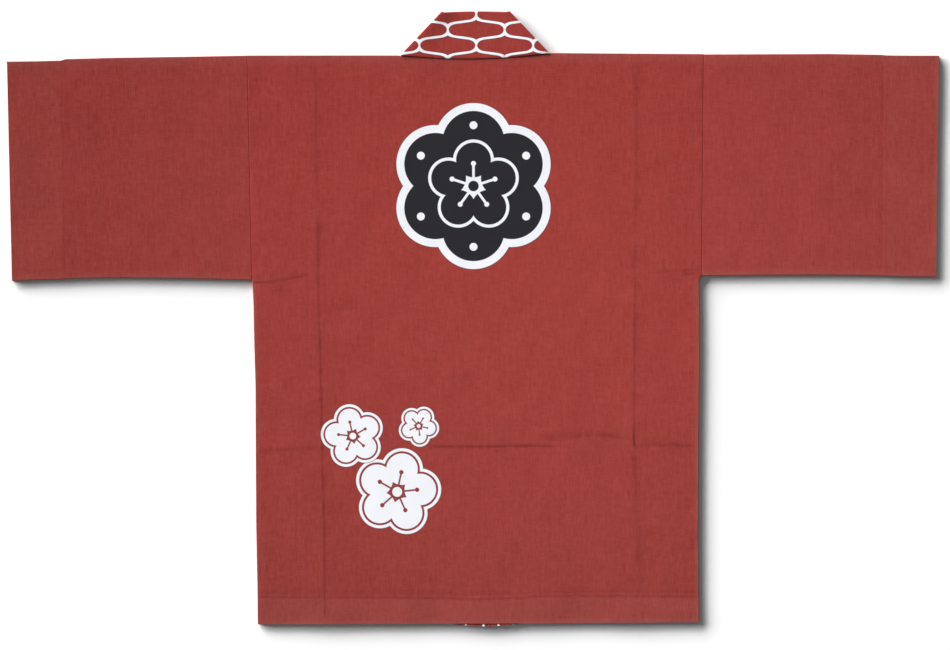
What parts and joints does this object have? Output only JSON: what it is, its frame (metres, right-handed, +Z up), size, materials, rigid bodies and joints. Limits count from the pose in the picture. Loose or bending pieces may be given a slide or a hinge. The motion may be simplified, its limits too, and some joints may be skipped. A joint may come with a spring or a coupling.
{
  "type": "happi coat",
  "caption": "Short, straight-sleeved festival coat of red cotton, laid flat with its back up: plain back panel, tube sleeves, net-patterned collar band folded over at the neck.",
  "frame": {"origin": "centre of the laid coat's outline, on the surface that it lies on", "axes": "+X towards the wearer's right cuff, +Y from the hem towards the collar, +Z up, out of the back of the coat"},
  "size_m": [1.3034, 0.8602, 0.0051],
  "materials": {
    "oxford_cloth": "matt cotton oxford, brownish red, slubbed in both directions",
    "collar_cloth": "matt cotton oxford, brownish red, printed with a white net pattern"
  },
  "bodies": {
    "root": {"back": "oxford_cloth", "front_left": "oxford_cloth", "front_right": "oxford_cloth", "sleeve_left": "oxford_cloth", "sleeve_right": "oxford_cloth", "collar": "collar_cloth"}
  },
  "joints": []
}
